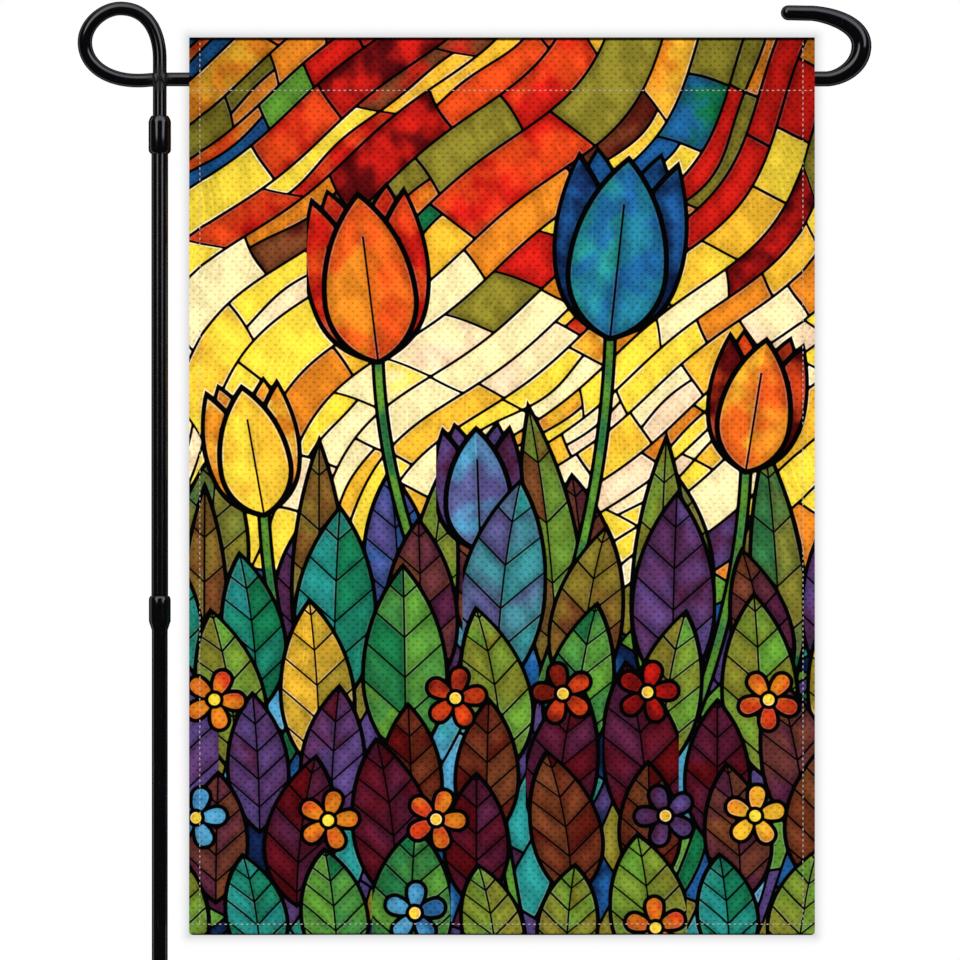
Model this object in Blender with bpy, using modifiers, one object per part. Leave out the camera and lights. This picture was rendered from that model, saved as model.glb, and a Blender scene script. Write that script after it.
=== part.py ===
"""Garden flag on its wire stand.

A printed cloth banner hangs by its sleeve on the level arm of a bent steel wire. The wire ends in a curl on
the right, and on the left it crosses behind itself, turns through an open loop and runs down as a stem into
a pole of two tubes, each with a wider socket at its top.

Metres, +Z up. The origin is the middle of the pole's foot, at ground level. The flag faces -Y.
"""

import math
from collections import namedtuple

import bmesh
import bpy
from mathutils import Matrix, Vector
from mathutils.geometry import interpolate_bezier

GAP = 0.0003
MERGE = 0.00001
ON_PLANE = 0.000001
SHARP_DEGREES = 40

# The banner: a standard garden flag, nominally 12.5 by 18 inches
FLAG_WIDTH = 0.3180
FLAG_HEIGHT = 0.4564
FLAG_LEFT = 0.0149
FLAG_TOP = 0.7819
CLOTH = 0.0010
HEM_WIDTH = 0.0075
HEM_EXTRA = 0.0006
CORNER_RADIUS = 0.0020
FOLD_SLACK = 0.0003
SEAM_DROP = 0.0270
SLEEVE_TURNING = 0.0025
SWAY = 0.0010
SWAY_PITCH = 0.1450
SWAY_PHASE = 0.6
COLUMNS = 14
ROWS = 11
FOLD_STEPS = 6
INNER_FOLD_STEPS = 2
WRAP_STEPS = 6
FACES_BACK = 0.9

# The wire: its level arm lies behind the stem, and the curl's bend is thicker than the rest
WIRE_RADIUS = 0.0035
CURL_RADIUS = 0.00385
BEND_RADIUS = 0.00510
ARM_DEPTH = 2 * WIRE_RADIUS + GAP
ARM_HEIGHT = 0.7607
WIRE_SIDES_SETTING = 4
TURN_STEPS = 11
TIP_STEPS = 3
TIP_FLAT = 0.15

# The weld where the arm passes behind the stem
WELD_HALF_WIDTH = 0.0041
WELD_HALF_HEIGHT = 0.0042
WELD_PROUD = 0.0003
WELD_ROUNDING = 0.0014
WELD_STEPS = 3

# The pole's two tubes
TUBE_WALL = 0.0009
UPPER_TUBE_RADIUS = 0.00425
LOWER_TUBE_RADIUS = 0.00405
UPPER_SOCKET_RADIUS = 0.00570
LOWER_SOCKET_RADIUS = 0.00555
UPPER_SOCKET_TOP = 0.7419
UPPER_SOCKET_BOTTOM = 0.7225
UPPER_SEAT = 0.7240
LOWER_SOCKET_TOP = 0.4978
LOWER_SOCKET_BOTTOM = 0.4805
LOWER_SEAT = 0.4842
MOUTH_ROUNDING = 0.0034
LOWER_MOUTH_ROUNDING = 0.0020
LIP = 0.0002
SOCKET_TAPER = 0.0046
FOOT_FLOOR = 0.0030
FOOT_CHAMFER = 0.0006
TUBE_SIDES = 24
ROUND_STEPS = 4

# Knots of the wire's centre line, from the tip of the curl to the end of the stem: place across and height,
# heading across and up, how far the curve reaches along the heading before and after, and the wire's radius
Knot = namedtuple("Knot", "name x z heading_x heading_z reach_before reach_after radius")
WIRE_KNOTS = (
    Knot("curl_tip", 0.3197, 0.7944, 1, 0, 0, 0.0030, CURL_RADIUS),
    Knot("curl_top", 0.3310, 0.7944, 1, 0, 0.0030, 0.0045, 0.0040),
    Knot("curl_side", 0.3567, 0.7778, 0, -1, 0.0128, 0.0111, BEND_RADIUS),
    Knot("curl_foot", 0.3387, ARM_HEIGHT, -1, 0, 0.0068, 0, CURL_RADIUS),
    Knot("crossing", 0.0, ARM_HEIGHT, -1, 0, 0, 0.0040, WIRE_RADIUS),
    Knot("loop_foot", -0.0112, 0.7598, -1, 0, 0.0040, 0.0169, WIRE_RADIUS),
    Knot("loop_side", -0.0381, 0.7795, 0, 1, 0.0110, 0.0092, WIRE_RADIUS),
    Knot("loop_top", -0.0202, 0.7965, 1, 0, 0.0086, 0.0144, WIRE_RADIUS),
    Knot("stem_top", 0.0, 0.7704, 0, -1, 0.0134, 0, WIRE_RADIUS),
    Knot("stem_end", 0.0, UPPER_SEAT + GAP, 0, -1, 0, 0, WIRE_RADIUS),
)


def clear_objects():
    """Removes what the file holds, so that the model starts from nothing."""
    for found in list(bpy.data.objects):
        bpy.data.objects.remove(found, do_unlink=True)


def collection(name):
    """A new collection in the scene."""
    made = bpy.data.collections.new(name)
    bpy.context.scene.collection.children.link(made)
    return made


def surface(name, colour, roughness, metallic=0.0):
    """A material with the part's colour and finish."""
    made = bpy.data.materials.new(name)
    made.use_nodes = True
    shader = made.node_tree.nodes["Principled BSDF"]
    shader.inputs["Base Color"].default_value = (*colour, 1.0)
    shader.inputs["Roughness"].default_value = roughness
    shader.inputs["Metallic"].default_value = metallic
    made.diffuse_color = (*colour, 1.0)
    return made


def smooth(share):
    """An even start and stop for a share from 0 to 1."""
    return share * share * (3 - 2 * share)


def add_mesh(name, bm, home, material):
    """The object of a finished bmesh, shaded smooth but for its sharp edges."""
    mesh = bpy.data.meshes.new(name)
    bm.to_mesh(mesh)
    bm.free()
    mesh.shade_smooth()
    mesh.set_sharp_from_angle(angle=math.radians(SHARP_DEGREES))
    made = bpy.data.objects.new(name, mesh)
    made.data.materials.append(material)
    home.objects.link(made)
    return made


def curve_as_bmesh(curve_object):
    """The evaluated curve as a closed bmesh in world space. The curve is removed."""
    bpy.context.view_layer.update()
    seen = curve_object.evaluated_get(bpy.context.evaluated_depsgraph_get())
    mesh = bpy.data.meshes.new_from_object(seen)
    bm = bmesh.new()
    bm.from_mesh(mesh)
    bm.transform(curve_object.matrix_world)
    bmesh.ops.remove_doubles(bm, verts=bm.verts, dist=MERGE)
    bmesh.ops.recalc_face_normals(bm, faces=bm.faces)
    bpy.data.meshes.remove(mesh)
    bpy.data.objects.remove(curve_object, do_unlink=True)
    return bm


def arc(centre, radius, start, end, steps):
    """Points on an arc about centre, from the angle start to end, both in radians from +Y towards +Z."""
    turn = (end - start) / steps
    return [
        centre + radius * Vector((math.cos(start + turn * i), math.sin(start + turn * i)))
        for i in range(steps + 1)
    ]


def sleeve_section():
    """The cloth's section across the arm: its outer outline and the tunnel that the arm runs through.

    Points are (depth, height). The front layer is upright. The back layer comes down from the fold, runs
    round the wire and meets the front layer at the seam, and its turning hangs below that.
    """
    reach = CURL_RADIUS + GAP
    wire = Vector((ARM_DEPTH, ARM_HEIGHT))
    inner_face = ARM_DEPTH - reach
    front_face = inner_face - CLOTH
    fold_outer = CLOTH + FOLD_SLACK
    fold = Vector((front_face + fold_outer, FLAG_TOP - fold_outer))
    seam = Vector((inner_face, FLAG_TOP - SEAM_DROP))
    bottom = FLAG_TOP - FLAG_HEIGHT
    tail = FLAG_TOP - SEAM_DROP - SLEEVE_TURNING

    # The back layer's direction where it leaves the fold, at a tangent to the fold and the wire's wrap
    down = wire - fold
    lean = math.asin((reach - FOLD_SLACK) / down.length)
    leave = math.atan2(down.y, down.x) + math.pi / 2 + lean
    # Where the wrap ends, at a tangent through the seam
    back = seam - wire
    finish = math.atan2(back.y, back.x) + math.acos(reach / back.length)

    tunnel = arc(fold, FOLD_SLACK, math.pi, leave, INNER_FOLD_STEPS)
    tunnel += arc(wire, reach, leave, finish, WRAP_STEPS)
    tunnel.append(seam)

    wrap = arc(wire, reach + CLOTH, leave, finish, WRAP_STEPS)
    last, heading = wrap[-1], Vector((math.sin(finish), -math.cos(finish)))
    tail_face = inner_face + CLOTH
    meet = last + heading * ((tail_face - last.x) / heading.x)
    outer = [Vector((front_face, bottom))]
    outer += arc(fold, fold_outer, math.pi, leave, FOLD_STEPS)
    outer += wrap
    outer += [meet, Vector((tail_face, tail)), Vector((inner_face, tail)), Vector((inner_face, bottom))]
    return outer, tunnel


def extruded_section(outlines, half_width, centre_x):
    """A bmesh of outlines in (depth, height), filled with their holes and drawn out along X."""
    data = bpy.data.curves.new("section", "CURVE")
    data.dimensions = "2D"
    data.fill_mode = "BOTH"
    data.extrude = half_width
    for outline in outlines:
        spline = data.splines.new("POLY")
        spline.points.add(len(outline) - 1)
        for point, place in zip(spline.points, outline):
            point.co = (place.x, place.y, 0, 1)
        spline.use_cyclic_u = True
    drawn = bpy.data.objects.new("section", data)
    bpy.context.scene.collection.objects.link(drawn)
    turn = Matrix(((0, 0, 1), (1, 0, 0), (0, 1, 0))).to_4x4()
    drawn.matrix_world = Matrix.Translation((centre_x, 0, 0)) @ turn
    return curve_as_bmesh(drawn)


def round_edges(bm, edges, radius, steps):
    """Rounds some of a mesh's edges."""
    bmesh.ops.bevel(
        bm, geom=edges, offset=radius, segments=steps, profile=0.5, affect="EDGES", material=-1
    )


def round_bottom_corners(bm, bottom):
    """Rounds the two lower corners of the cloth, seen from the front."""
    corners = [
        e for e in bm.edges
        if all(abs(v.co.z - bottom) < GAP for v in e.verts)
        and abs(e.verts[0].co.x - e.verts[1].co.x) < GAP
    ]
    round_edges(bm, corners, CORNER_RADIUS, ROUND_STEPS)


def slice_at(bm, place, normal):
    """Cuts the mesh's faces along a plane and keeps both sides."""
    everything = bm.verts[:] + bm.edges[:] + bm.faces[:]
    bmesh.ops.bisect_plane(bm, geom=everything, plane_co=place, plane_no=normal, dist=ON_PLANE)


def turn_hems(bm, left, right, bottom, top):
    """Thickens the back of the cloth along its sides and bottom, where the hem is turned over."""
    hem = []
    for face in bm.faces:
        middle = face.calc_center_median()
        at_side = middle.x < left + HEM_WIDTH or middle.x > right - HEM_WIDTH
        if face.normal.y > FACES_BACK and middle.z < top and (at_side or middle.z < bottom + HEM_WIDTH):
            hem.append(face)
    grown = bmesh.ops.extrude_face_region(bm, geom=hem)
    moved = [v for v in grown["geom"] if isinstance(v, bmesh.types.BMVert)]
    bmesh.ops.delete(bm, geom=hem, context="FACES")
    bmesh.ops.translate(bm, verts=moved, vec=(0, HEM_EXTRA, 0))


def hang(bm, left, seam, bottom):
    """Lets the cloth below the sleeve sway a little, more towards its foot."""
    for vert in bm.verts:
        drop = min(1.0, max(0.0, (seam - vert.co.z) / (seam - bottom)))
        wave = math.sin(2 * math.pi * (vert.co.x - left) / SWAY_PITCH + SWAY_PHASE)
        vert.co.y -= SWAY * smooth(drop) * wave


def flag_cloth(home, material):
    """The banner with its sleeve and hems, one piece of cloth."""
    left, right = FLAG_LEFT, FLAG_LEFT + FLAG_WIDTH
    bottom = FLAG_TOP - FLAG_HEIGHT
    seam = FLAG_TOP - SEAM_DROP
    tail = seam - SLEEVE_TURNING
    bm = extruded_section(sleeve_section(), FLAG_WIDTH / 2, (left + right) / 2)
    round_bottom_corners(bm, bottom)
    inside = FLAG_WIDTH - 2 * HEM_WIDTH
    for i in range(COLUMNS + 1):
        slice_at(bm, (left + HEM_WIDTH + inside * i / COLUMNS, 0, 0), (1, 0, 0))
    height = tail - bottom - HEM_WIDTH
    for i in range(ROWS + 1):
        slice_at(bm, (0, 0, bottom + HEM_WIDTH + height * i / ROWS), (0, 0, 1))
    turn_hems(bm, left, right, bottom, tail)
    hang(bm, left, seam, bottom)
    return add_mesh("flag_cloth", bm, home, material)


def wire_route():
    """The wire's centre line as (place, radius) rows, from the curl's tip to the stem's end."""
    rows, row_at = [], {}
    for knot, follower in zip(WIRE_KNOTS, WIRE_KNOTS[1:]):
        row_at[knot.name] = len(rows)
        start, end = Vector((knot.x, 0, knot.z)), Vector((follower.x, 0, follower.z))
        leaving = start + Vector((knot.heading_x, 0, knot.heading_z)) * knot.reach_after
        arriving = end - Vector((follower.heading_x, 0, follower.heading_z)) * follower.reach_before
        steps = TURN_STEPS if knot.reach_after or follower.reach_before else 1
        places = interpolate_bezier(start, leaving, arriving, end, steps + 1)
        for i, place in enumerate(places[:-1]):
            rows.append((place, knot.radius + (follower.radius - knot.radius) * smooth(i / steps)))
    rows.append((end, follower.radius))
    set_depths(rows, row_at["loop_foot"], row_at["stem_top"])
    return round_tip(rows) + rows[1:]


def set_depths(rows, first, last):
    """Puts the level arm behind the stem, and brings the loop forward between the first and last row."""
    travelled = [0.0]
    for (place, _), (following, _) in zip(rows[first:last], rows[first + 1:last + 1]):
        travelled.append(travelled[-1] + (following - place).length)
    for i, (place, _) in enumerate(rows):
        share = travelled[min(max(i - first, 0), last - first)] / travelled[-1]
        place.y = ARM_DEPTH * (1 - smooth(share))


def round_tip(rows):
    """The wire's rounded free end: rows that close in on the tip, and the first row behind them."""
    place, radius = rows[0]
    outward = (place - rows[1][0]).normalized()
    cap = []
    for i in range(TIP_STEPS + 1):
        angle = math.pi / 2 * (1 - i / TIP_STEPS)
        narrow = max(TIP_FLAT, math.cos(angle))
        cap.append((place + outward * radius * math.sin(angle), radius * narrow))
    return cap


def wire_arm(home, material):
    """The bent wire with its weld: one piece."""
    rows = wire_route()
    data = bpy.data.curves.new("wire", "CURVE")
    data.dimensions = "3D"
    data.bevel_depth = WIRE_RADIUS
    data.bevel_resolution = WIRE_SIDES_SETTING
    data.use_fill_caps = True
    spline = data.splines.new("POLY")
    spline.points.add(len(rows) - 1)
    for point, (place, radius) in zip(spline.points, rows):
        point.co = (*place, 1)
        point.radius = radius / WIRE_RADIUS
    drawn = bpy.data.objects.new("wire", data)
    bpy.context.scene.collection.objects.link(drawn)
    return add_mesh("wire_arm", curve_as_bmesh(drawn), home, material)


def weld_lump(cutters):
    """The rounded lump of weld over the crossing, joined to the wire with a Boolean."""
    front = -WIRE_RADIUS - WELD_PROUD
    back = ARM_DEPTH + WIRE_RADIUS + WELD_PROUD
    bm = bmesh.new()
    bmesh.ops.create_cube(bm, size=1.0)
    size = Vector((2 * WELD_HALF_WIDTH, back - front, 2 * WELD_HALF_HEIGHT))
    bmesh.ops.scale(bm, verts=bm.verts, vec=size)
    round_edges(bm, bm.edges[:], WELD_ROUNDING, WELD_STEPS)
    bmesh.ops.translate(bm, verts=bm.verts, vec=(0, (front + back) / 2, ARM_HEIGHT))
    mesh = bpy.data.meshes.new("weld_lump")
    bm.to_mesh(mesh)
    bm.free()
    lump = bpy.data.objects.new("weld_lump", mesh)
    lump.hide_render = True
    lump.display_type = "WIRE"
    cutters.objects.link(lump)
    return lump


def join_weld(arm, lump):
    """Joins the lump of weld to the wire."""
    union = arm.modifiers.new("weld", "BOOLEAN")
    union.operation = "UNION"
    union.solver = "EXACT"
    union.object = lump


def quarter_round(start, end, steps):
    """Points on a convex quarter ellipse between two (radius, height) places, without the first."""
    width, height = end[0] - start[0], end[1] - start[1]
    bulges_first = width > 0
    points = []
    for i in range(1, steps + 1):
        angle = math.pi / 2 * i / steps
        if bulges_first:
            points.append((start[0] + width * math.sin(angle), start[1] + height * (1 - math.cos(angle))))
        else:
            points.append((start[0] + width * (1 - math.cos(angle)), start[1] + height * math.sin(angle)))
    return points


def turned(name, profile, closed, home, material):
    """A round piece: a (radius, height) profile turned about the pole's axis."""
    bm = bmesh.new()
    verts = [bm.verts.new((radius, 0, height)) for radius, height in profile]
    pairs = list(zip(verts, verts[1:]))
    if closed:
        pairs.append((verts[-1], verts[0]))
    for pair in pairs:
        bm.edges.new(pair)
    made = add_mesh(name, bm, home, material)
    screw = made.modifiers.new("turn", "SCREW")
    screw.axis = "Z"
    screw.angle = 2 * math.pi
    screw.steps = TUBE_SIDES
    screw.render_steps = TUBE_SIDES
    screw.use_merge_vertices = True
    screw.merge_threshold = MERGE
    screw.use_smooth_shade = True
    return made


def upper_pole(home, material):
    """The upper tube: its socket takes the stem, and its foot stands in the lower tube's socket."""
    bore = WIRE_RADIUS + GAP
    inside = UPPER_TUBE_RADIUS - TUBE_WALL
    lip = (bore + LIP, UPPER_SOCKET_TOP)
    foot = LOWER_SEAT + GAP
    profile = [lip]
    profile += quarter_round(lip, (UPPER_SOCKET_RADIUS, UPPER_SOCKET_TOP - MOUTH_ROUNDING), ROUND_STEPS)
    profile += [(UPPER_SOCKET_RADIUS, UPPER_SOCKET_BOTTOM + LOWER_MOUTH_ROUNDING)]
    profile += quarter_round(profile[-1], (UPPER_TUBE_RADIUS, UPPER_SOCKET_BOTTOM), ROUND_STEPS)
    profile += [(UPPER_TUBE_RADIUS, foot), (inside, foot), (inside, UPPER_SEAT), (bore, UPPER_SEAT)]
    profile += [(bore, UPPER_SOCKET_TOP)]
    return turned("upper_pole", profile, True, home, material)


def lower_pole(home, material):
    """The lower tube, down to the ground: open at its socket and closed at its foot."""
    bore = UPPER_TUBE_RADIUS + GAP
    inside = LOWER_TUBE_RADIUS - TUBE_WALL
    lip = (bore + LIP, LOWER_SOCKET_TOP)
    profile = [(0, FOOT_FLOOR), (inside, FOOT_FLOOR), (inside, LOWER_SEAT), (bore, LOWER_SEAT)]
    profile += [(bore, LOWER_SOCKET_TOP), lip]
    profile += quarter_round(lip, (LOWER_SOCKET_RADIUS, LOWER_SOCKET_TOP - LOWER_MOUTH_ROUNDING), ROUND_STEPS)
    profile += [(LOWER_SOCKET_RADIUS, LOWER_SOCKET_BOTTOM + SOCKET_TAPER)]
    profile += [(LOWER_TUBE_RADIUS, LOWER_SOCKET_BOTTOM), (LOWER_TUBE_RADIUS, FOOT_CHAMFER)]
    profile += [(LOWER_TUBE_RADIUS - FOOT_CHAMFER, 0), (0, 0)]
    return turned("lower_pole", profile, False, home, material)


def main():
    """Builds the flag and its stand."""
    clear_objects()
    home = collection("garden flag")
    cutters = collection("joined shapes")
    cloth = surface("printed cloth", (0.52, 0.33, 0.14), 0.85)
    enamel = surface("black enamel", (0.012, 0.012, 0.013), 0.28, 0.2)
    flag_cloth(home, cloth)
    arm = wire_arm(home, enamel)
    join_weld(arm, weld_lump(cutters))
    upper_pole(home, enamel)
    lower_pole(home, enamel)


main()
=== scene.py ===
"""Garden flag on its wire stand: the finish of every surface, the sewing and a studio stage.

The banner is one sheet of woven polyester, printed with a stained-glass garden of tulips, leaves and
blossoms before ribbons of coloured glass. Its sleeve hangs on the arm of a bent wire in glossy black
enamel.
"""
import math
from collections import namedtuple
from functools import partial, wraps
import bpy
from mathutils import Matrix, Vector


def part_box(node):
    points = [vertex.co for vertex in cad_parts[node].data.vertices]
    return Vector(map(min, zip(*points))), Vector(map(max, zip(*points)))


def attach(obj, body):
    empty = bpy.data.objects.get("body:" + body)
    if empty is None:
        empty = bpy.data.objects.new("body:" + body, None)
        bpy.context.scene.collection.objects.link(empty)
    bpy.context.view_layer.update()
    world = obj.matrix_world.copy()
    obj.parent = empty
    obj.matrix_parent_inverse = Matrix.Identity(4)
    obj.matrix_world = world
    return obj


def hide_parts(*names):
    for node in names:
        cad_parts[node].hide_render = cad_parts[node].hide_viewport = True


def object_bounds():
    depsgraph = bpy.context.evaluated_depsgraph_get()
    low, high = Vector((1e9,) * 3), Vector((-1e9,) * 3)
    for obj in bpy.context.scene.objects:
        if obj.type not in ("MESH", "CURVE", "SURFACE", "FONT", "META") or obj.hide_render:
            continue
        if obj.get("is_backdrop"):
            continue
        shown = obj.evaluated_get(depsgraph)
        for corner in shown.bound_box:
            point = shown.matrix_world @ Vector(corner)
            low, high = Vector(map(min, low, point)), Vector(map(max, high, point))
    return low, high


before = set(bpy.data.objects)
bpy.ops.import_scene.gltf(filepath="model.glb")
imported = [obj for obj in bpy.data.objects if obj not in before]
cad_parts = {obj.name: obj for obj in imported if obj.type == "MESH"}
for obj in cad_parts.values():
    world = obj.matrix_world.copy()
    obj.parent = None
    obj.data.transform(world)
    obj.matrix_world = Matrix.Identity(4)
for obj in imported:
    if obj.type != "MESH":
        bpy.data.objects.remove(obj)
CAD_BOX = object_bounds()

from inspect import signature

import bmesh
import bpy
from bpy.props import FloatProperty, FloatVectorProperty, PointerProperty
from mathutils import Matrix, Vector, noise
from mathutils.geometry import interpolate_bezier

bl_info = {
    "name": "Garden flag on its wire stand",
    "version": (1, 0, 0),
    "blender": (4, 5, 0),
    "location": "View3D > Sidebar > Garden flag",
    "description": "Dresses a printed garden flag and its black wire stand",
    "category": "Add Mesh",
}

GAP = 0.0003
MERGE = 0.000005
MM = 1000.0
CLOTH_MAP = "Cloth"
ENAMEL_NAME = "glossy_enamel"

# The cloth, from its solid's box. A run is a length along its section, up from the foot
CLOTH_LOW, CLOTH_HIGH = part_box("flag_cloth")
FLAG_LEFT, FLAG_RIGHT = CLOTH_LOW.x, CLOTH_HIGH.x
FLAG_FOOT, FLAG_TOP = CLOTH_LOW.z, CLOTH_HIGH.z
FLAG_WIDTH = FLAG_RIGHT - FLAG_LEFT
CLOTH = 0.0010
EDGE_ROUNDING = 0.0003
HEM_WIDTH = 0.0075
HEM_EXTRA = 0.0006
HEM_STEP = 0.0002
CORNER_RADIUS = 0.0020
CORNER_REACH = CORNER_RADIUS * 1.5
SLEEVE_TURNING = 0.0025
SEAM_HEIGHT = FLAG_TOP - 0.0270
SEAM_RUN = SEAM_HEIGHT - FLAG_FOOT
TAIL_RUN = SEAM_RUN - SLEEVE_TURNING
FOLD_SLACK = 0.0003
TAIL_CLEARANCE = 0.00005
SWAY = 0.0010
SWAY_PITCH = 0.1450
SWAY_PHASE = 0.6
CELL = 0.0027

# The stitching, with its side lines' distances from the cloth's left edge
SEWN_LINES = {"left_hem": 0.0054, "right_hem": FLAG_WIDTH - 0.0060}
FOOT_LINE = 0.0055
FOLD_CLEARANCE = 0.0020
FOLD_RUN = FLAG_TOP - FLAG_FOOT - FOLD_CLEARANCE
SEAM_CLEARANCE = 0.0010
SELVEDGE = 0.0006
STITCH_PITCH = 0.00275
STITCH_LENGTH = 0.00148
THREAD_RADIUS = 0.00026
PLY_PITCH = 0.00042
WANDER = 0.00006
SIDEWAYS = Vector((1, 0, 0))

# The pole's two tubes
Tube = namedtuple("Tube", "radius socket_radius top bottom seat rounding")
UPPER = Tube(0.00425, 0.00570, 0.7419, 0.7225, 0.7240, 0.0034)
LOWER = Tube(0.00405, 0.00555, 0.4978, 0.4805, 0.4842, 0.0020)
TUBE_WALL = 0.0009
SHOULDER_ROUNDING = 0.0020
LIP = 0.0002
SOCKET_TAPER = 0.0046
FOOT_FLOOR = 0.0030
FOOT_CHAMFER = 0.0006
TUBE_SIDES = 64
ROUND_STEPS = 10

# The wire
WIRE_RADIUS = 0.0035
CURL_RADIUS = 0.00385
ARM_DEPTH = 2 * WIRE_RADIUS + GAP
ARM_HEIGHT = 0.7607
TURN_STEPS = 36
STRAIGHT_STEPS = 8
WIRE_SIDES = 40
TIP_STEPS = 10
TIP_FLAT = 0.04
Knot = namedtuple("Knot", "name x z heading_x heading_z reach_before reach_after radius")
WIRE_KNOTS = (
    Knot("curl_tip", 0.3197, 0.7946, 1, 0, 0, 0.0030, CURL_RADIUS),
    Knot("curl_top", 0.3310, 0.7944, 1, 0, 0.0030, 0.0045, 0.0039),
    Knot("curl_side", 0.3569, 0.7779, 0, -1, 0.0128, 0.0111, 0.0051),
    Knot("curl_foot", 0.3387, 0.76095, -1, 0, 0.0068, 0, CURL_RADIUS),
    Knot("crossing", 0.0, ARM_HEIGHT, -1, 0, 0, 0.0040, WIRE_RADIUS),
    Knot("loop_foot", -0.0112, 0.7601, -1, 0, 0.0040, 0.0169, WIRE_RADIUS),
    Knot("loop_side", -0.0383, 0.7795, 0, 1, 0.0110, 0.0092, 0.0037),
    Knot("loop_top", -0.0202, 0.7965, 1, 0, 0.0086, 0.0144, WIRE_RADIUS),
    Knot("stem_top", 0.0, 0.7704, 0, -1, 0.0134, 0, WIRE_RADIUS),
    Knot("stem_end", 0.0, UPPER.seat + GAP, 0, -1, 0, 0, WIRE_RADIUS),
)

# The weld at the crossing
WELD_HALF_WIDTH = 0.0041
WELD_HALF_HEIGHT = 0.0042
WELD_PROUD = 0.0003
WELD_SQUARENESS = 0.55
WELD_FILL = 0.96
WELD_GRAIN = 620.0
WELD_LUMPS = 0.00009
HEAT_REACH = 0.0085

# The photograph's frame and the studio
IMAGE_SIDE = 960
PIXEL = 0.0005085
POLE_PIXEL = 160.0
TOP_PIXEL = 1.7
STAND_TOP = 0.8000
PICTURE_DEPTH = 0.0030
SENSOR_WIDTH = 36.0
SHADE_REACH = 0.0066
SHADE_STRENGTH = 0.30
CARD_MARGIN = 0.0080
LAMP_PLACE = Vector((-0.5, -1.9, 1.5))
LAMP_TARGET = Vector((0.16, 0, 0.56))
LAMP_SIDE = 1.6
LAMP_POWER = 16.0


def linear(red, green, blue):
    """A colour given as it looks on a screen, 0 to 255, as a linear one."""
    shares = [value / 255 for value in (red, green, blue)]
    return tuple(s / 12.92 if s <= 0.04045 else ((s + 0.055) / 1.055) ** 2.4 for s in shares)


def colour_property(name, description, *shades):
    """A colour that a user can change."""
    return FloatVectorProperty(
        name=name, description=description, subtype="COLOR", size=3, min=0, max=1, default=linear(*shades)
    )


def number_property(name, description, default, low, high, **settings):
    """A number that a user can change."""
    return FloatProperty(name=name, description=description, default=default, min=low, max=high, **settings)


class GlassColours(bpy.types.PropertyGroup):
    """The print's colours of glass."""

    maroon: colour_property("Maroon", "Darkest red glass", 92, 10, 14)
    red: colour_property("Red", "Clear red glass", 205, 28, 20)
    vermilion: colour_property("Vermilion", "Orange red glass", 228, 72, 24)
    orange: colour_property("Orange", "Orange glass", 230, 132, 32)
    gold: colour_property("Gold", "Deep yellow glass", 243, 184, 48)
    yellow: colour_property("Yellow", "Bright yellow glass", 251, 218, 62)
    cream: colour_property("Cream", "Palest yellow glass", 250, 232, 170)
    peach: colour_property("Peach", "Pale pink glass", 250, 216, 176)
    olive: colour_property("Olive", "Yellow green glass", 134, 124, 40)
    brown: colour_property("Brown", "Red brown glass", 122, 66, 36)
    leaf: colour_property("Leaf", "Light green glass", 98, 156, 52)
    emerald: colour_property("Emerald", "Deep green glass", 18, 112, 66)
    teal: colour_property("Teal", "Blue green glass", 40, 146, 142)
    sky: colour_property("Sky", "Light blue glass", 84, 164, 204)
    blue: colour_property("Blue", "Clear blue glass", 30, 92, 156)
    navy: colour_property("Navy", "Darkest blue glass", 18, 38, 82)
    violet: colour_property("Violet", "Blue violet glass", 92, 72, 134)
    plum: colour_property("Plum", "Red violet glass", 84, 32, 62)
    lead: colour_property("Lead", "Lines between the pieces", 2, 2, 2)


class ClothLook(bpy.types.PropertyGroup):
    """The cloth's print, weave and sewing."""

    lead_width: number_property("Lead width", "Width of the fine lines, in millimetres", 1.45, 0.4, 4)
    lane: number_property("Ribbon width", "Mean width of the ribbons, in millimetres", 19.0, 8, 40)
    weave: number_property("Weave pitch", "Distance between threads, in millimetres", 0.58, 0.2, 2)
    thread: colour_property("Thread", "Sewing thread", 184, 177, 168)
    sheen: number_property("Sheen", "Sheen of the polyester", 0.01, 0, 1)


class StandLook(bpy.types.PropertyGroup):
    """The stand's enamel."""

    enamel: colour_property("Enamel", "Glossy black enamel", 6, 6, 8)
    worn: colour_property("Worn", "Dusty or rubbed enamel", 46, 45, 46)
    gloss_roughness: number_property("Gloss roughness", "Roughness of clean enamel", 0.09, 0.02, 1)


class StageLook(bpy.types.PropertyGroup):
    """The studio that the flag is shown in."""

    lens: number_property("Lens", "Focal length in millimetres", 300.0, 20, 800)
    floor_radius: number_property("Floor radius", "Radius of the round floor", 2.2, 0.5, 10, unit="LENGTH")
    backdrop_depth: number_property(
        "Backdrop depth", "How far the card stands behind the pole", 0.0136, 0.010, 1, unit="LENGTH"
    )
    fill: number_property("Fill", "Strength of the even light", 0.92, 0, 5)


def reckoned(operation, swapped=False):
    """A method that adds a Math node, with its two values swapped if asked."""

    def method(*values):
        return calculate(operation, *(reversed(values) if swapped else values))

    return method


class Signal:
    """A node's output that can be reckoned with: each operation adds a Math node to the same tree."""

    __add__ = __radd__ = reckoned("ADD")
    __sub__ = reckoned("SUBTRACT")
    __rsub__ = reckoned("SUBTRACT", swapped=True)
    __mul__ = __rmul__ = reckoned("MULTIPLY")
    __truediv__ = reckoned("DIVIDE")
    __rtruediv__ = reckoned("DIVIDE", swapped=True)
    __pow__ = reckoned("POWER")
    __abs__ = reckoned("ABSOLUTE")
    __lt__ = reckoned("LESS_THAN")
    __gt__ = reckoned("GREATER_THAN")

    def __init__(self, socket):
        self.socket = socket

    @property
    def tree(self):
        return self.socket.id_data


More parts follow.
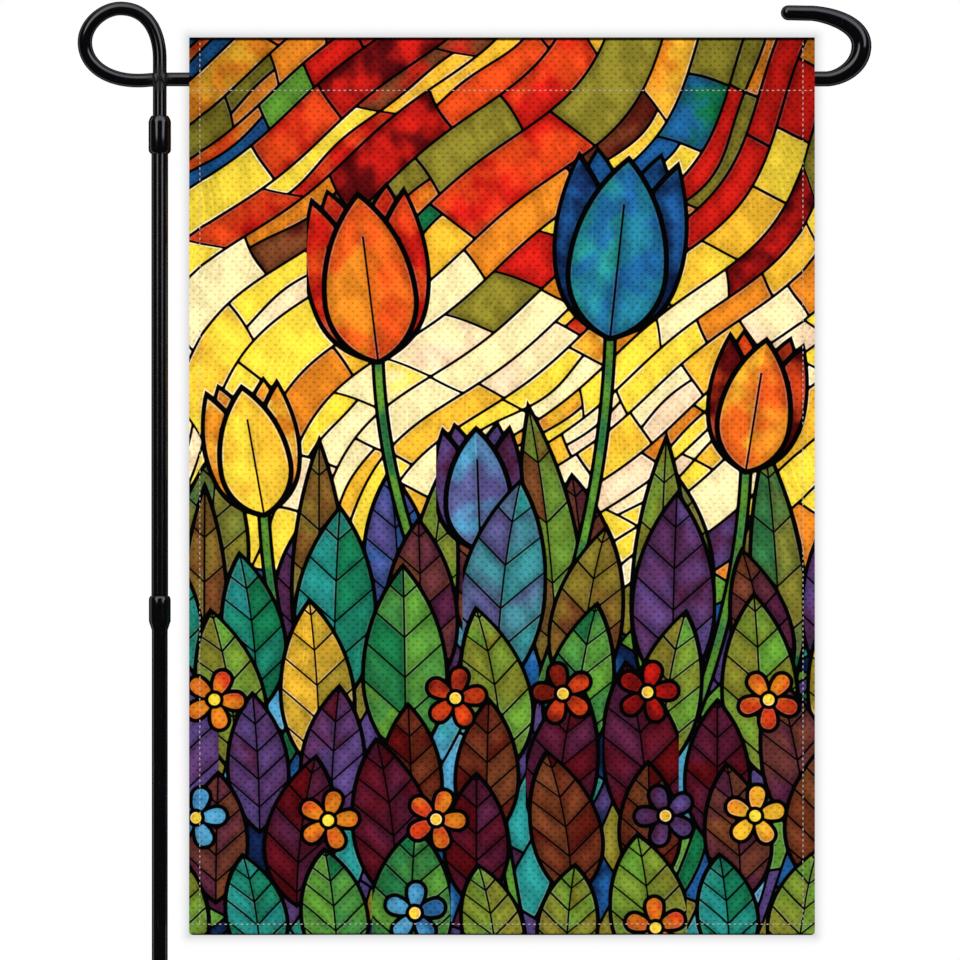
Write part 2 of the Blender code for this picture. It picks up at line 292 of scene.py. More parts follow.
def feed(socket, value):
    """Links a signal to a socket, or sets the socket to a number, vector or colour."""
    if isinstance(value, Signal):
        value.tree.links.new(value.socket, socket)
    elif hasattr(value, "__len__") and len(value) == 3 and len(socket.default_value) == 4:
        socket.default_value = (*value, 1.0)
    else:
        socket.default_value = value


def feed_all(node, inputs):
    """Feeds a node's sockets from a mapping, or from pairs, of a socket's name or index and its value."""
    for name, value in dict(inputs).items():
        feed(node.inputs[name], value)


def add_node(tree, kind, inputs=(), **settings):
    """A shader node with its settings and inputs."""
    made = tree.nodes.new("ShaderNode" + kind)
    made.location.x = 40 * len(tree.nodes)
    for name, value in settings.items():
        setattr(made, name, value)
    feed_all(made, inputs)
    return made


def signal(tree, kind, inputs=(), output=0, **settings):
    """The output of a new node."""
    return Signal(add_node(tree, kind, inputs, **settings).outputs[output])


def tree_of(*values):
    """The node tree that the first signal among the values belongs to."""
    return next(value.tree for value in values if isinstance(value, Signal))


def calculate(operation, *values):
    """A Math node's result."""
    return signal(tree_of(*values), "Math", enumerate(values), operation=operation)


lowest = partial(calculate, "MINIMUM")
highest = partial(calculate, "MAXIMUM")
sine = partial(calculate, "SINE")
cosine = partial(calculate, "COSINE")
root = partial(calculate, "SQRT")
whole = partial(calculate, "FLOOR")
fraction = partial(calculate, "FRACT")


def joined(first, second, rounding=1.1):
    """The lower of two distances, with the corner between them rounded as lead fills it."""
    return calculate("SMOOTH_MIN", first, second, rounding)


def rising(value, start, end):
    """A smooth rise from 0 to 1 as value goes from start to end."""
    inputs = {"Value": value, "From Min": start, "From Max": end}
    return signal(tree_of(value, start, end), "MapRange", inputs, interpolation_type="SMOOTHSTEP")


def parts(vector, kind="SeparateXYZ"):
    """A vector's or a colour's three numbers, each a signal."""
    made = add_node(vector.tree, kind, {0: vector})
    return [Signal(output) for output in made.outputs]


channels = partial(parts, kind="SeparateColor")


def point(tree, x, y, z=0.0):
    """A vector from three numbers."""
    return signal(tree, "CombineXYZ", {0: x, 1: y, 2: z})


def mixed(share, first, second, blend="MIX"):
    """Two colours mixed."""
    inputs = {0: share, 6: first, 7: second}
    return signal(tree_of(share, first, second), "Mix", inputs, 2, data_type="RGBA", blend_type=blend)


def leaning(place, up, degrees):
    """A place as seen from a petal that stands at a height and leans."""
    inputs = {"Vector": place, "Location": (0, up, 0), "Rotation": (0, 0, math.radians(degrees))}
    return signal(place.tree, "Mapping", inputs, vector_type="TEXTURE")


def stretched(place, scale):
    """A place scaled for a texture."""
    return signal(place.tree, "Mapping", {"Vector": place, "Scale": scale})


def cloudy(place, scale, detail, roughness=0.5, dimensions="3D"):
    """Noise from 0 to 1."""
    inputs = {"Vector": place, "Scale": scale, "Detail": detail, "Roughness": roughness}
    return signal(place.tree, "TexNoise", inputs, noise_dimensions=dimensions)


flat_cloudy = partial(cloudy, dimensions="2D")


def luminance(colour):
    """How light a colour is."""
    return signal(colour.tree, "RGBToBW", {0: colour})


def toned(colour, tone):
    """A colour made lighter or darker by a factor."""
    return mixed(1.0, colour, point(colour.tree, tone, tone, tone), "MULTIPLY")


def between(share, first, second):
    """The number a share of the way from the first to the second."""
    inputs = {0: share, 2: first, 3: second}
    return signal(tree_of(share, first, second), "Mix", inputs, data_type="FLOAT")


def length_of(x, y):
    """The length of a flat vector."""
    return signal(x.tree, "VectorMath", {0: point(x.tree, x, y)}, "Value", operation="LENGTH")


def chance(value):
    """Three random numbers that belong to a whole number."""
    return channels(signal(value.tree, "TexWhiteNoise", {"W": value}, "Color", noise_dimensions="1D"))


def from_steps(value, colours, ends=None):
    """The colour of a value's step. The steps end at the given values, or are even, up to 1."""
    if ends:
        value = value / ends[-1]
    else:
        ends = range(1, len(colours) + 1)
    made = add_node(value.tree, "ValToRGB", {0: value})
    made.color_ramp.interpolation = "CONSTANT"
    steps = made.color_ramp.elements
    while len(steps) < len(colours):
        steps.new(0.5)
    for i, (start, colour) in enumerate(zip((0, *ends), colours)):
        steps[i].position = start / ends[-1]
        steps[i].color = (*colour, 1.0)
    return Signal(made.outputs[0])


def panes(glass, names):
    """The colours of the glass with these names."""
    return [getattr(glass, name) for name in names.split()]


SOCKET_KINDS = {1: "NodeSocketFloat", 3: "NodeSocketVector", 4: "NodeSocketColor"}
BLANK = (0.0, 0.0, 0.0)
BLANK_COLOUR = (0.0, 0.0, 0.0, 1.0)
FAR_AWAY = 100.0
LAYERS = {"colour": BLANK_COLOUR, "second_colour": BLANK_COLOUR, "lead": FAR_AWAY}


def socket_label(name):
    """A socket's label, from its name in this script."""
    return name.replace("_", " ").capitalize()


def shader_group(label, gives, build):
    """A node group. Its inputs and their defaults are build's, and gives has a default for each output."""
    tree = bpy.data.node_groups.new(label, "ShaderNodeTree")
    takes = {name: taken.default for name, taken in signature(build).parameters.items()}
    for direction, sockets in (("INPUT", takes), ("OUTPUT", gives)):
        for name, default in sockets.items():
            kind = SOCKET_KINDS[len(default) if hasattr(default, "__len__") else 1]
            made = tree.interface.new_socket(socket_label(name), in_out=direction, socket_type=kind)
            made.default_value = default
    start = tree.nodes.new("NodeGroupInput")
    results = build(*(Signal(start.outputs[socket_label(name)]) for name in takes))
    end = tree.nodes.new("NodeGroupOutput")
    end.location.x = 40 * len(tree.nodes)
    results = results if isinstance(results, (tuple, list)) else (results,)
    feed_all(end, zip(map(socket_label, gives), results))
    return tree


def placed(tree, group, **inputs):
    """A group's node in a tree, and its outputs as signals."""
    made = add_node(tree, "Group", node_tree=group)
    feed_all(made, {socket_label(name): value for name, value in inputs.items()})
    results = [Signal(output) for output in made.outputs]
    return results if len(results) > 1 else results[0]


def node_group(label, **gives):
    """Turns a function on signals into one that places its node group in a tree, built once."""

    def wrap(build):
        @wraps(build)
        def place_group(tree, **inputs):
            group = bpy.data.node_groups.get(label) or shader_group(label, gives, build)
            return placed(tree, group, **inputs)

        return place_group

    return wrap


@node_group("Petal shape", distance=0.0, across=0.0, along=0.0)
def petal_shape(
    place=BLANK, length=100.0, half_width=0.3, widest=0.5, lower_radius=0.6, upper_radius=0.6, bend=0.0
):
    """A petal or leaf from (0, 0) to (0, 1): each side is two arcs that meet where it is widest."""
    x, y, _ = parts(place)
    across = x - bend * y * y
    radius = between(y > widest, lower_radius, upper_radius)
    reach = length_of(abs(across) + radius - half_width, y - widest)
    return (reach - radius) * length, across * length, y


def petal(place, length, half_width, widest, bend=0.0):
    """A petal's distance, and places across and along it. All but its length are shares of its length."""
    lower, upper = ((part ** 2 + half_width ** 2) / (2 * half_width) for part in (widest, 1 - widest))
    return petal_shape(
        place.tree, place=place, length=length, half_width=half_width, widest=widest, lower_radius=lower,
        upper_radius=upper, bend=bend,
    )


@node_group("Lay a piece of glass", **LAYERS)
def lay_glass(
    colour=BLANK_COLOUR, second_colour=BLANK_COLOUR, lead=FAR_AWAY, distance=FAR_AWAY,
    new_colour=BLANK_COLOUR, new_second_colour=BLANK_COLOUR, extra_lead=0.0,
):
    """Lays one piece of glass over the picture, with lead round it."""
    inside = distance < 0.0
    new_lead = highest(-1.0 * distance - extra_lead, joined(lead, distance - extra_lead))
    return mixed(inside, colour, new_colour), mixed(inside, second_colour, new_second_colour), new_lead


FINE_BY = 0.25


class Picture:
    """The glass picture so far: two colours, which blend within a piece, and the distance to its lead."""

    def __init__(self, place, layers):
        self.place = place
        self.layers = layers

    def send_through(self, group, **inputs):
        """Lets a node group draw on the picture."""
        self.layers = group(self.place.tree, **dict(zip(LAYERS, self.layers)), **inputs)

    def lay(self, distance, colour, second, extra):
        """Lays a piece over the picture."""
        inputs = {"new_colour": colour, "new_second_colour": second, "extra_lead": extra}
        self.send_through(lay_glass, distance=distance, **inputs)

    def cut(self, line, distance):
        """Draws a fine line of lead inside a piece, where distance is below 0."""
        self.layers[2] = lowest(self.layers[2], highest(abs(line) + FINE_BY, distance))


RIBBON_ANGLE = math.radians(52)
RUN, RISE = math.cos(RIBBON_ANGLE), math.sin(RIBBON_ANGLE)
# Each wave is its height, its length divided by 2 pi, and its phase
RIBBON_WAVES = ((21.0, 66.0, 0.9), (4.0, 23.0, 0.0))
LANE_WAVES = ((0.55, 41.0, 0.0), (0.13, 7.3, 0.0))
WARM_FROM, WARM_WAVE = 336.0, (24.0, 74.0, 1.9)
COOL_BELOW = 190.0
SCATTER = 46.0
SHORTEST_PIECE, LONGER_BY = 32.0, 40.0
CUT_LEAN = 30.0
LARGEST_START = 400.0
# Keeps the cuts of neighbouring ribbons apart
LANE_STEP = 13.7
SPLIT_CHANCE = 0.34
BLEND_STEP = 0.08
WARM = (
    "brown maroon red red red vermilion vermilion orange orange gold gold yellow gold olive olive leaf "
    "emerald blue"
)
PALE = "peach cream cream cream yellow yellow yellow gold orange"
COOL = "plum violet violet navy blue sky teal emerald leaf olive"


def waved(run, waves, start=0.0):
    """A start value with the heights of some waves along a run added."""
    return sum((height * sine(run / length + phase) for height, length, phase in waves), start)


def wave_slope(run, waves, start=0.0):
    """A start value with the slopes of some waves along a run added."""
    return sum(((height / length) * cosine(run / length + phase) for height, length, phase in waves), start)


def ribbons(place, look, glass):
    """Slanting ribbons of glass that wave, cut across into pieces. Returns two colours and the lead."""
    x, y, _ = parts(place)
    along = x * RUN + y * RISE
    across = waved(along, RIBBON_WAVES, y * RUN - x * RISE)
    slope = wave_slope(along, RIBBON_WAVES)
    lanes = waved(across, LANE_WAVES, across / look.lane)
    per_mm = wave_slope(across, LANE_WAVES, 1 / look.lane) * root(slope * slope + 1.0)
    lane = whole(lanes)
    share = lanes - lane
    edge = (0.5 - abs(share - 0.5)) / per_mm

    length, lean, start = chance(lane)
    length = SHORTEST_PIECE + LONGER_BY * length
    run = (along + LARGEST_START * start + (share - 0.5) * ((lean - 0.5) * CUT_LEAN)) / length
    settings = {"W": run + lane * LANE_STEP, "Scale": 1.0, "Randomness": 0.85}
    borders, cells = (
        add_node(place.tree, "TexVoronoi", settings, voronoi_dimensions="1D", feature=feature).outputs
        for feature in ("DISTANCE_TO_EDGE", "F1")
    )
    cut = Signal(borders["Distance"]) * length
    pick, split_pick, scatter = channels(Signal(cells["Color"]))

    is_split = split_pick > 1.0 - SPLIT_CHANCE
    split_share = 0.5 + 0.09 * sine(along / 11.0)
    split = abs(share - split_share) / per_mm + (1.0 - is_split) * FAR_AWAY
    lead = joined(joined(edge, cut), split)
    far_side = (share > split_share) * is_split

    # The place of a piece's middle, which is one number all over the piece, decides which glass it is
    home_along = (Signal(cells["W"]) - lane * LANE_STEP) * length - LARGEST_START * start
    home_lane = lane + 0.5
    height, wave_length, _ = LANE_WAVES[0]
    home_across = (home_lane - height * sine(home_lane * (look.lane / wave_length))) * look.lane
    home_across = home_across - waved(home_along, RIBBON_WAVES)
    home_x = home_along * RUN - home_across * RISE
    home_y = home_along * RISE + home_across * RUN + (scatter - 0.5) * SCATTER
    pick = fraction(pick + far_side * 0.37)
    is_warm = home_y > waved(home_x, (WARM_WAVE,), WARM_FROM)
    is_cool = home_y < COOL_BELOW
    colours = []
    for shift in (0.0, BLEND_STEP):
        found = pick * (1 - shift) + shift
        warm, pale, cool = (from_steps(found, panes(glass, names)) for names in (WARM, PALE, COOL))
        colours.append(mixed(is_cool, mixed(is_warm, pale, warm), cool))
    return [*colours, lead]


LeafRow = namedtuple("LeafRow", "base pitch offset length half_width seed colours")
ROWS_BEHIND = (
    LeafRow(136, 47, 12, 92, 0.19, 3, "olive brown plum violet blue emerald"),
    LeafRow(106, 58, 21, 132, 0.10, 71, "leaf olive teal emerald olive brown"),
)
ROWS_IN_FRONT = (
    LeafRow(112, 43, 33, 94, 0.20, 11, "teal emerald olive brown plum violet"),
    LeafRow(76, 45, 3, 92, 0.21, 23, "leaf olive gold olive leaf emerald"),
    LeafRow(44, 39, 24, 82, 0.22, 37, "plum maroon brown plum maroon violet"),
    LeafRow(14, 44, 8, 74, 0.24, 41, "maroon plum brown maroon plum brown"),
    LeafRow(-26, 40, 27, 68, 0.27, 59, "emerald leaf olive leaf emerald teal"),
)
VEINS = 5.0
VEIN_SLANT = 0.9
WIDEST_AT = 0.44
MOST_BEND = 0.34


def lay_leaf_row(picture, row, glass):
    """A row of pointed leaves side by side, each cut into pieces by its midrib and its side veins."""
    x, y, _ = parts(picture.place)
    steps = (x + row.offset) / row.pitch
    index = whole(steps)
    tall, tilt, pick = chance(index + row.seed)
    length = row.length * (0.82 + 0.36 * tall)
    up = (y - row.base - 10.0 * pick) / length
    side = (steps - index - 0.5) * row.pitch / length
    bend = (tilt - 0.5) * MOST_BEND
    place = point(picture.place.tree, side + bend * 0.35, up)
    distance, across, along = petal(place, length, row.half_width, WIDEST_AT, bend)
    half = across > 0.0
    veins = (along - abs(across) / length * VEIN_SLANT) * VEINS + tall
    piece = whole(veins)
    vein = (0.5 - abs(veins - piece - 0.5)) * length * (1 / VEINS / math.hypot(1, VEIN_SLANT))
    share = chance(piece + half * 0.5 + index * 19.0 + row.seed)[0]
    colours = panes(glass, row.colours)
    light, dark = from_steps(pick, colours), from_steps(pick, colours[1:] + colours[:1])
    colour = mixed(share, light, dark)
    picture.lay(distance, colour, mixed(0.6, colour, mixed(half, light, dark)), 0.35)
    picture.cut(lowest(abs(across), vein), distance)


Tulip = namedtuple("Tulip", "until across up size turn foot_shift light main deep")
TULIPS = (
    Tulip(59.2, 38, 214, 66, 10, 20, "yellow", "gold", "orange"),
    Tulip(124.6, 96, 292, 86, 7, 26, "orange", "vermilion", "red"),
    Tulip(177, 148, 196, 62, 2, 8, "sky", "violet", "plum"),
    Tulip(258, 214, 304, 92, -6, -16, "teal", "blue", "navy"),
    Tulip(318, 283, 236, 68, -9, -22, "gold", "vermilion", "maroon"),
)
STEM_HALF = 2.6
SHIFT_BASE = 50.0


@node_group("Tulip", **LAYERS)
def tulip_glass(
    colour=BLANK_COLOUR, second_colour=BLANK_COLOUR, lead=FAR_AWAY, place=BLANK, size=80.0,
    light=BLANK_COLOUR, main=BLANK_COLOUR, deep=BLANK_COLOUR,
):
    """An open tulip seen from the side: its base is at the origin and its height is 1 before sizing."""
    picture = Picture(place, [colour, second_colour, lead])
    x, y, _ = parts(place)
    folded = point(place.tree, abs(x), y)
    distance, _, _ = petal(leaning(folded, 0.04, -13), size, 0.17, 0.5, -0.05)
    picture.lay(distance, main, deep, 0.3)
    distance, across, along = petal(leaning(folded, 0.0, -27), size * 0.95, 0.19, 0.40, -0.20)
    picture.lay(distance, deep, main, 0.45)
    picture.cut(across + size * 0.02, highest(distance, (along - 0.72) * size))
    distance, across, along = petal(point(place.tree, x, y + 0.01), size * 0.86, 0.27, 0.37)
    picture.lay(distance, mixed((across > 0.0) * 0.5, light, main), main, 0.45)
    picture.cut(across, highest(distance, (along - 0.74) * size))
    return picture.layers


def lay_tulips(picture, glass):
    """The tulips on their curved stems, side by side: each stretch across the cloth has its own."""
    x, y, _ = parts(picture.place)
    tree = picture.place.tree
    ends = [tulip.until for tulip in TULIPS]
    across, up, size = channels(from_steps(x, [(t.across, t.up, t.size) for t in TULIPS], ends))
    # A ramp's colours are never below 0, so turns and shifts are raised before it and lowered after it
    bends = [(math.radians(t.turn) + math.pi, t.foot_shift + SHIFT_BASE, 0) for t in TULIPS]
    turn, foot_shift, _ = channels(from_steps(x, bends, ends))
    turn = turn - math.pi
    foot_shift = foot_shift - SHIFT_BASE

    drop = (up - y) / 100.0
    lean = turn * 30.0
    slope = (drop * foot_shift * 1.2 + lean) / 100.0
    from_stem = abs(x - across - drop * (drop * foot_shift * 0.6 + lean))
    side = from_stem / root(slope * slope + 1.0) - STEM_HALF
    picture.lay(highest(side, y - up - 4.0), glass.leaf, glass.emerald, 0.2)

    spot = {
        "Vector": picture.place, "Location": point(tree, across, up), "Scale": point(tree, size, size, 1.0),
        "Rotation": point(tree, 0.0, 0.0, turn),
    }
    inputs = {"place": signal(tree, "Mapping", spot, vector_type="TEXTURE"), "size": size}
    for part in ("light", "main", "deep"):
        names = " ".join(getattr(tulip, part) for tulip in TULIPS)
        inputs[part] = from_steps(x, panes(glass, names), ends)
    picture.send_through(tulip_glass, **inputs)


BLOSSOM_PITCH = 56.0
BLOSSOM_REACH = 16.0
BLOSSOMS_BELOW = 168.0
PETALS = 5


def lay_blossoms(picture, glass):
    """Small open blossoms with five petals, scattered among the leaves."""
    tree = picture.place.tree
    settings = {"Vector": picture.place, "Scale": 1 / BLOSSOM_PITCH, "Randomness": 0.42}
    cells = add_node(tree, "TexVoronoi", settings, voronoi_dimensions="2D", feature="F1")
    home_x, home_y, _ = parts(Signal(cells.outputs["Position"]))
    pick, keep, twist = channels(Signal(cells.outputs["Color"]))
    x, y, _ = parts(picture.place)
    from_x, from_y = x - home_x, y - home_y
    reach = root(from_x * from_x + from_y * from_y)
    sector = 2 * math.pi / PETALS
    angle = calculate("ARCTAN2", from_x, from_y) + twist * sector
    folded = calculate("WRAP", angle, sector / 2, -sector / 2)
    place = point(tree, reach * sine(folded) / BLOSSOM_REACH, reach * cosine(folded) / BLOSSOM_REACH)
    left_out = highest(keep > 0.5, home_y > BLOSSOMS_BELOW) * FAR_AWAY
    distance, _, _ = petal(place, BLOSSOM_REACH, 0.31, 0.69)
    light = from_steps(pick, panes(glass, "sky gold red orange violet vermilion"))
    deep = from_steps(pick, panes(glass, "blue orange maroon red plum maroon"))
    picture.lay(distance + left_out, light, deep, 0.3)
    picture.lay(reach - 0.24 * BLOSSOM_REACH + left_out, glass.yellow, glass.gold, 0.2)


def glass_finish(place, colour, second, lead, look, glass):
    """The blending, brush marks, shaded edges and rims of painted glass, and the lead over it."""
    clouds = flat_cloudy(place, 1 / 24, 2.0, 0.55)
    body = mixed(rising(clouds, 0.36, 0.64) * 0.85, colour, second)
    x, y, _ = parts(place)
    brushed = point(place.tree, (x + 16.0 * sine(y / 33.0)) / 1.3, y / 30.0)
    strokes = rising(flat_cloudy(brushed, 1.0, 2.0, 0.6), 0.50, 0.76)
    washed = point(place.tree, x / 11.0 + y / 40.0, y / 17.0)
    mottle = flat_cloudy(place, 1 / 6, 3.0, 0.65)
    washes = rising(flat_cloudy(washed, 1.0, 1.0), 0.34, 0.66)
    light = luminance(body)
    shade = (1.0 - rising(lead, 0.2, 6.0)) * (0.62 - 0.55 * root(light))
    corner = rising(y, 300.0, 470.0) * rising(abs(x - FLAG_WIDTH * MM / 2), 55.0, 175.0)
    uneven = (0.36 * mottle + 0.42 * washes - 0.39) * (1.0 - 0.6 * light)
    tone = (1.02 + 0.24 * strokes + uneven) * (1.0 - shade) * (1.0 - 0.6 * corner)
    half = look.lead_width / 2
    rim = rising(lead, half, half + 0.25) * (1.0 - rising(lead, half + 0.25, half + 0.8))
    caught = rim * rising(clouds, 0.44, 0.58) * light * light * 1.6
    body = mixed(caught, toned(body, tone), (1.0, 0.97, 0.88))
    return mixed(1.0 - rising(lead, half - 0.16, half + 0.16), body, glass.lead)


def print_group(look, glass):
    """The printed picture, from a place on the cloth in millimetres."""

    def build(place=BLANK):
        picture = Picture(place, ribbons(place, look, glass))
        for row in ROWS_BEHIND:
            lay_leaf_row(picture, row, glass)
        lay_tulips(picture, glass)
        for row in ROWS_IN_FRONT:
            lay_leaf_row(picture, row, glass)
        lay_blossoms(picture, glass)
        return glass_finish(place, *picture.layers, look, glass), picture.layers[2]

    return shader_group("Glass print", {"colour": BLANK_COLOUR, "lead": 0.0}, build)


DOT_PITCH = 4.38
DOT_ROW = 2.12


@node_group("Mesh dots", dot=0.0)
def mesh_dots(place=BLANK):
    """Staggered rows of small sunken dots in the knitted cloth. Where the colour is darkened in them, that
    is painted shade.
    """
    x, y, _ = parts(place)
    row = y / DOT_ROW
    shift = calculate("MODULO", whole(row), 2.0) * 0.5
    across = (fraction(x / DOT_PITCH + shift) - 0.5) * (DOT_PITCH / 0.74)
    up = (fraction(row) - 0.5) * (DOT_ROW / 0.50)
    return 1.0 - rising(length_of(across, up), 0.3, 1.6)


@node_group("Plain weave", height=0.0)
def plain_weave(place=BLANK, pitch=0.58):
    """A plain weave: threads over and under each other."""
    x, y, _ = parts(place)
    turn = 2 * math.pi / pitch
    return sine(x * turn) * sine(y * turn) * 0.5 + 0.5


SLUB_LENGTH = 7.0
SLUB_WIDTH = 0.8


def slubs(place):
    """The uneven brightness of threads that run both ways, about 0."""
    long, short = 1 / SLUB_LENGTH, 1 / SLUB_WIDTH
    scales = ((long, short, 1), (short, long, 1))
    level, upright = (flat_cloudy(stretched(place, scale), 1.0, 0.0) for scale in scales)
    return level + upright - 1.0


def material(name):
    """A new material, its node tree and its shader."""
    made = bpy.data.materials.new(name)
    made.use_nodes = True
    tree = made.node_tree
    return made, tree, tree.nodes["Principled BSDF"]


def bump(height, strength, depth):
    """A normal from a height."""
    inputs = {"Height": height, "Strength": strength, "Distance": depth}
    return signal(height.tree, "Bump", inputs, "Normal")


def printed_cloth():
    """Printed polyester: the picture, its show-through at the back, the weave and the mesh dots. The dots
    and a band along the top fold carry painted shade, and a band along the foot edge is darkened too.
    """
    look, glass = bpy.context.scene.flag_cloth_look, bpy.context.scene.flag_glass
    made, tree, shader = material("printed_cloth")
    uv = signal(tree, "UVMap", uv_map=CLOTH_MAP)
    place = signal(tree, "VectorMath", {0: uv, "Scale": MM}, operation="SCALE")
    behind = parts(signal(tree, "NewGeometry", output="Normal"))[1] > 0.5
    x, y, _ = parts(place)

    # On the back, the turned hem shows the print's face, folded over the edge
    width, hem = FLAG_WIDTH * MM, HEM_WIDTH * MM
    on_left = behind * (x < hem)
    on_right = behind * (x > width - hem)
    folded = x * (1.0 - 2.0 * on_left) + on_right * (2.0 * width - 2.0 * x)
    colour, lead = placed(tree, print_group(look, glass), place=point(tree, folded, y))

    dot = mesh_dots(tree, place=place)
    weave = plain_weave(tree, place=place, pitch=look.weave)
    through = behind * (1.0 - on_left) * (1.0 - on_right)
    colour = mixed(through * 0.16, colour, linear(226, 222, 214))
    # Painted shade: the colour is darkened in the sunken mesh dots.
    sunken = dot * (0.62 - 0.38 * root(luminance(colour)))
    colour = toned(colour, 1.0 - sunken + slubs(place) * 0.16)
    # Painted shade: the colour darkens almost to the lead's black in a narrow band along the fold at the top
    # edge, and in the same way along the foot edge.
    fold = 1.0 - rising(abs(y - (FLAG_TOP - FLAG_FOOT) * MM), 1.3, 2.0)
    border = highest(fold, 1.0 - rising(y, 0.5, 0.9))
    feed_all(shader, {
        "Base Color": mixed(border * 0.96, colour, glass.lead),
        "Roughness": 0.86 - 0.10 * (1.0 - rising(lead, 0.4, 1.0)) - 0.06 * dot,
        "Specular IOR Level": 0.02, "Sheen Weight": look.sheen, "Sheen Roughness": 0.45,
        "Normal": bump(weave * 0.5 - dot * 0.8, 0.6, 0.00010),
    })
    return made


def sewing_thread():
    """Pale polyester thread, twisted."""
    look = bpy.context.scene.flag_cloth_look
    made, tree, shader = material("sewing_thread")
    place = signal(tree, "TexCoord", output="Object")
    x, _, z = parts(place)
    ply = sine((x + z) * (2 * math.pi / PLY_PITCH)) * 0.5 + 0.5
    fibre = cloudy(place, 5200.0, 2.0)
    soiled = rising(cloudy(place, 60.0, 2.0), 0.35, 0.75)
    clean = mixed(ply * 0.25, tuple(look.thread), linear(156, 148, 136))
    feed_all(shader, {
        "Base Color": mixed(soiled * 0.35, clean, linear(164, 154, 138)), "Roughness": 0.55 + 0.2 * fibre,
        "Sheen Weight": 0.2, "Normal": bump(ply + fibre * 0.4, 0.6, 0.00005),
    })
    return made


@node_group("Enamel", colour=BLANK_COLOUR, roughness=0.2, height=0.0)
def sprayed_enamel(place=BLANK, clean=BLANK_COLOUR, worn=BLANK_COLOUR, gloss=0.16, dull=0.0):
    """Sprayed enamel: its orange peel, dust specks and faint rubbing."""
    peel = cloudy(place, 420.0, 2.0)
    patches = rising(cloudy(place, 55.0, 3.0), 0.42, 0.78)
    specks = rising(cloudy(place, 1500.0, 1.0), 0.70, 0.80)
    rubbed = rising(cloudy(stretched(place, (1.0, 1.0, 0.12)), 900.0, 2.0), 0.62, 0.78) * patches
    colour = mixed(rubbed * 0.5 + specks * 0.3 + dull * 0.1, clean, worn)
    roughness = gloss + 0.02 * patches + 0.08 * rubbed + 0.1 * specks + dull * 0.3
    return colour, roughness, peel * (1.0 + dull * 2.0) + specks * 0.6


def enamel(name, base_dull=0.0, peel=0.00002):
    """Glossy black enamel, duller where the weld's heat reached."""
    look = bpy.context.scene.flag_stand_look
    made, tree, shader = material(name)
    place = signal(tree, "TexCoord", output="Object")
    x, _, z = parts(place)
    from_weld = root(x * x + (z - ARM_HEIGHT) * (z - ARM_HEIGHT))
    burnt = 1.0 - rising(from_weld, WELD_HALF_HEIGHT, HEAT_REACH)
    colour, roughness, height = sprayed_enamel(
        tree, place=place, clean=tuple(look.enamel), worn=tuple(look.worn), gloss=look.gloss_roughness,
        dull=highest(burnt * 0.8, base_dull),
    )
    feed_all(shader, {
        "Base Color": colour, "Roughness": roughness, "Specular IOR Level": 0.5,
        "Normal": bump(height, 0.35, peel),
    })
    return made


def smooth(share):
    """An even start and stop for a share from 0 to 1."""
    return share * share * (3 - 2 * share)


def linked(name, data):
    """A new object in the scene."""
    made = bpy.data.objects.new(name, data)
    bpy.context.scene.collection.objects.link(made)
    return made


def new_object(name, bm, finish):
    """The object of a finished bmesh."""
    mesh = bpy.data.meshes.new(name)
    bm.to_mesh(mesh)
    bm.free()
    mesh.materials.append(finish)
    return linked(name, mesh)


def add_piece(name, bm, finish, slot):
    """A piece of the flag or its stand, riding on the stand."""
    made = new_object(name, bm, finish)
    made.data.shade_smooth()
    made.data.set_sharp_from_angle(angle=math.radians(50))
    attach(made, "root")
    return made


def add_stage_piece(name, bm, finish):
    """A piece of the stage."""
    made = new_object(name, bm, finish)
    made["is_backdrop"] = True
    return made


def drawn_out(bm, edges):
    """Extrudes a chain or ring of edges, still in place. Returns the new edges and vertices."""
    grown = bmesh.ops.extrude_edge_only(bm, edges=edges)["geom"]
    verts = [v for v in grown if isinstance(v, bmesh.types.BMVert)]
    new = set(verts)
    return [e for e in grown if isinstance(e, bmesh.types.BMEdge) and new.issuperset(e.verts)], verts


def turned_round(side, out, heading):
    """The matrix that turns the axes X, Y and Z to these three ways."""
    return Matrix((side, out, heading)).transposed().to_4x4()


PathPoint = namedtuple("PathPoint", "place run")


